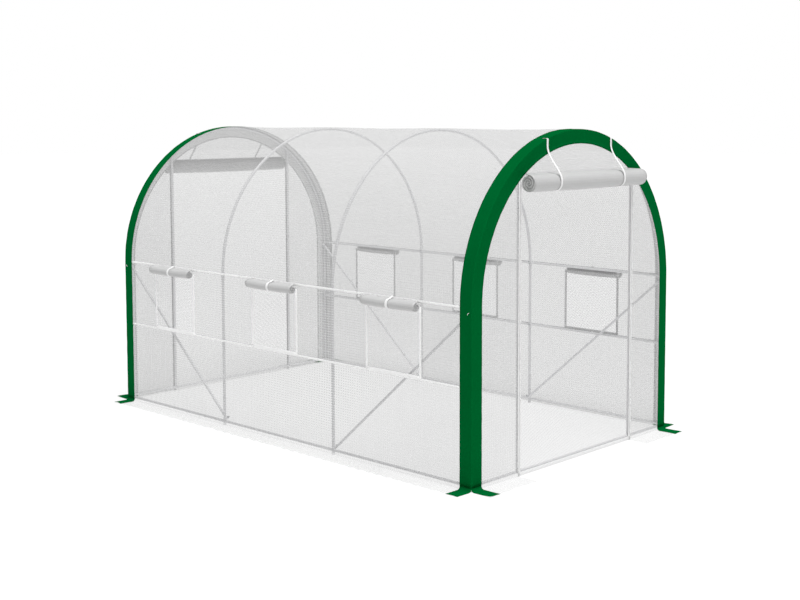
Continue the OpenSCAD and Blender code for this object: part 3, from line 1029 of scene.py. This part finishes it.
class TUNNEL_OT_bands(TunnelOperator, bpy.types.Operator):
    """Add the green bands of both ends with their corner flaps"""

    bl_idname = "tunnel.bands"
    bl_label = "Green bands"

    def execute(self, context):
        sizes = context.scene.tunnel_sizes
        finish = finishes(context)
        for number, face in enumerate(("front", "rear")):
            band = self.band(sizes, 1 if face == "front" else -1, 80 + number)
            made = piece(f"{face}_band", [band], finish("band"), [f"{face}_trim"],
                         thick=sizes.band_t, back=finish("band_back"))
            flaps, flat = self.flaps(face, 90 + number)
            made = piece(f"{face}_corner_flaps", flaps, finish("band"),
                         [f"{face}_ground_flaps"], thick=sizes.band_t)
        return {"FINISHED"}

    def band(self, sizes, turn, seed):
        """An L-shaped section carried round the outline: flat on the end face from its inner edge, a
        rounded corner, then flat on the roof, with a raised hem along both edges."""
        corner = BAND_CORNER
        face_w = ROOF_R - OPENING_R - corner
        side_w = END_Y - FILM_Y - corner
        bend = np.radians(np.linspace(0, 90, 7))[1:-1]
        hem = sizes.hem_w
        flat = steps(0, hem - HEM_STEP, hem, face_w, pitch=0.011)
        back = steps(0, side_w - hem, side_w - hem + HEM_STEP, side_w, pitch=0.011)
        inset = np.concatenate([OPENING_R + flat, ROOF_R - corner + corner * np.sin(bend),
                                np.full(len(back), ROOF_R)])
        depth = np.concatenate([np.zeros(len(flat)), corner - corner * np.cos(bend), corner + back])
        run = distances(np.stack([inset, depth], -1))
        hem_end = run[-1] - hem
        raised = 0.0007 * (1 - smooth(run, hem - HEM_STEP, hem) + smooth(run, hem_end, hem_end + HEM_STEP))
        s = steps(BEND_Z, LEG_H, OUTLINE_END - LEG_H, OUTLINE_END - BEND_Z, pitch=0.022)[:, None]
        proud = raised + 0.0005 * waves(seed, s, run[None, :], 0.14, 0.6)
        on_end = depth <= 0
        x, z, _, _ = outline(s, inset + np.where(on_end, 0, proud))
        y = -END_Y + depth - np.where(on_end, proud, 0)
        points = np.stack(np.broadcast_arrays(turn * x, turn * y, z), -1)
        return grid(points, pair(s, run[None, :]))

    def flaps(self, face, seed):
        """The four flaps of one end, two turned out past the end and two to the sides, and the size of
        a sheet as long as the longest of them and as large as all four."""
        node = f"{face}_ground_flaps"
        out_end = far(node, "y") - END_Y
        out_side = far(node, "x") - ROOF_R
        flaps = []
        for s, side in ((-1, "left"), (1, "right")):
            span = sorted((s * OPENING_R, s * (ROOF_R - 0.001)))
            flaps.append(ground_flap(face, span, out_end, seed + 2 * s, ripple=0.002, curl=0.010))
            sign = -s if face == "front" else s
            span = sorted((sign * FILM_Y, sign * (END_Y - 0.001)))
            flaps.append(ground_flap(side, span, out_side, seed + 5 * s, ripple=0.002, curl=0.010))
        run_end = flap_run(out_end)
        run_side = flap_run(out_side)
        area = 2 * ((ROOF_R - OPENING_R) * run_end + (END_Y - FILM_Y) * run_side)
        longest = max(run_end, run_side)
        return flaps, (area / longest, longest)


def flap_run(reach):
    """Length of a flap's section: a quarter turn from the wall, then flat to its edge."""
    bend = BEND_Z - 0.003
    return math.pi / 2 * (bend + 0.0015) + reach - bend


def ground_flap(face, span, reach, seed, ripple, curl):
    """A strip that turns out of the wall in a quarter round and lies on the ground. Waves lift it by
    up to the ripple, more towards its outer edge, and the edge curls up here and there."""
    radius = BEND_Z - 0.003
    a = steps(*span, pitch=0.016)[:, None]
    flat = steps(reach, radius, pitch=0.012)[:-1]
    turn = np.radians(np.linspace(0, 90, 9))
    out = np.concatenate([flat, radius - radius * np.sin(turn)])
    up = np.concatenate([np.full(len(flat), GROUND_GAP), BEND_Z - (BEND_Z - GROUND_GAP) * np.cos(turn)])
    share = np.clip((out - radius) / (reach - radius), 0, 1)
    lift = ripple * share * (0.9 + waves(seed, a, out, 0.13, 0.5))
    lift = np.maximum(lift, 0) + curl * share**3 * np.clip(waves(seed + 1, a, out, 0.35, 9.0), 0, 1) ** 2
    edge = 0.0014 * waves(seed + 2, a, out, 0.3, 9.0) * share
    run = distances(np.stack([out, up], -1))
    points = on_face(face, a, out + edge - 0.0015 * (1 - share) * (out < radius), up + lift)
    return grid(points, pair(a, run))


class TUNNEL_OT_skirts(TunnelOperator, bpy.types.Operator):
    """Add the film skirts that lie on the ground"""

    bl_idname = "tunnel.skirts"
    bl_label = "Ground skirts"

    def execute(self, context):
        finish = finishes(context)
        for number, face in enumerate(("left", "right")):
            node = f"{face}_skirt"
            reach = far(node, "x") - ROOF_R
            skirt = ground_flap(face, (-FILM_Y, FILM_Y), reach, 100 + number, ripple=0.0024, curl=0.003)
            made = piece(f"{face}_ground_skirt", [skirt], finish("skirt"), [node])
        for number, face in enumerate(("front", "rear")):
            node = f"{face}_skirts"
            reach = far(node, "y") - END_Y
            skirts = [ground_flap(face, sorted((s * POST_X, s * OPENING_R)), reach, 110 + number + s,
                                  ripple=0.0024, curl=0.003) for s in (-1, 1)]
            made = piece(f"{face}_ground_skirts", skirts, finish("skirt"), [node])
        return {"FINISHED"}


class TUNNEL_OT_edging(TunnelOperator, bpy.types.Operator):
    """Add the tapes sewn round the windows and the zips beside the doorways"""

    bl_idname = "tunnel.edging"
    bl_label = "Tapes and zips"

    def execute(self, context):
        sizes = context.scene.tunnel_sizes
        finish = finishes(context)
        for face in ("left", "right"):
            rings = []
            for a, b in WINDOW_Y:
                corners = [(a, WINDOW_Z0, -1, -1), (b, WINDOW_Z0, 1, -1), (b, WINDOW_Z1, 1, 1),
                           (a, WINDOW_Z1, -1, 1), (a, WINDOW_Z0, -1, -1)]
                rings.append(self.tape(face, corners, sizes.tape_w, TAPE_OUT))
            for z in (RAIL_Z[1] + 0.003, RAIL_Z[2] + 0.004):
                ends = [(FILM_Y, z, 0, 1), (-FILM_Y, z, 0, 1)]
                rings.append(self.tape(face, ends, sizes.seam_w, SEAM_OUT))
            # The outer face of these tapes has a painted glow and the back face has none.
            made = piece(f"{face}_window_tapes", rings, finish("seam_tape"), thick=TAPE_T,
                         back=finish("seam_back"))
        for face in ("front", "rear"):
            runs = ([(POST_X, DOOR_Z0, 1, 0), (POST_X, DOOR_Z1, 1, 0)],
                    [(-POST_X, DOOR_Z1, -1, 0), (-POST_X, DOOR_Z0, -1, 0)])
            zips = [self.tape(face, run, sizes.zip_w, TAPE_OUT) for run in runs]
            made = piece(f"{face}_door_zips", zips, finish("zip"), thick=TAPE_T)
        return {"FINISHED"}

    def tape(self, face, corners, width, out):
        """A flat tape along straight runs with mitred corners: at each distance from its middle the
        corners move out by that distance, and each run is the straight line between them."""
        across = np.linspace(0.5, -0.5, 5) * width
        rows = []
        for (a0, z0, ra0, rz0), (a1, z1, ra1, rz1) in zip(corners, corners[1:]):
            t = np.linspace(0, 1, max(2, round(math.hypot(a1 - a0, z1 - z0) / 0.03)))[:, None]
            start = np.stack([a0 + ra0 * across, z0 + rz0 * across], -1)[None]
            end = np.stack([a1 + ra1 * across, z1 + rz1 * across], -1)[None]
            rows.append(start + t[..., None] * (end - start))
        flat = np.concatenate(rows)
        run = distances(flat[:, 2])
        return grid(on_face(face, flat[..., 0], out, flat[..., 1]), pair(run[:, None], width / 2 - across))


class TUNNEL_PT_panel(bpy.types.Panel):
    """Lists the pieces and the stage in the sidebar"""

    bl_label = "Tunnel greenhouse"
    bl_idname = "TUNNEL_PT_panel"
    bl_space_type = "VIEW_3D"
    bl_region_type = "UI"
    bl_category = "Tunnel"

    def draw(self, context):
        layout = self.layout
        for operator in OPERATORS:
            layout.operator(operator.bl_idname)
        for name in SETTINGS:
            box = layout.box()
            group = getattr(context.scene, name)
            for field in group.bl_rna.properties:
                if field.identifier not in ("rna_type", "name"):
                    box.prop(group, field.identifier)


SETTINGS = {"tunnel_sizes": TunnelSizes, "tunnel_colours": TunnelColours, "tunnel_view": TunnelView,
            "tunnel_light": TunnelLight}
OPERATORS = (TUNNEL_OT_stage, TUNNEL_OT_frame, TUNNEL_OT_cover, TUNNEL_OT_ends, TUNNEL_OT_screens,
             TUNNEL_OT_rolls, TUNNEL_OT_straps, TUNNEL_OT_bands, TUNNEL_OT_skirts, TUNNEL_OT_edging)


def register():
    for made in (*SETTINGS.values(), *OPERATORS, TUNNEL_PT_panel):
        bpy.utils.register_class(made)
    for name, group in SETTINGS.items():
        setattr(bpy.types.Scene, name, PointerProperty(type=group))


def unregister():
    for name in SETTINGS:
        delattr(bpy.types.Scene, name)
    for made in reversed((*SETTINGS.values(), *OPERATORS, TUNNEL_PT_panel)):
        bpy.utils.unregister_class(made)


def main():
    register()
    for operator in OPERATORS:
        family, name = operator.bl_idname.split(".")
        getattr(getattr(bpy.ops, family), name)()


if __name__ == "__main__":
    main()
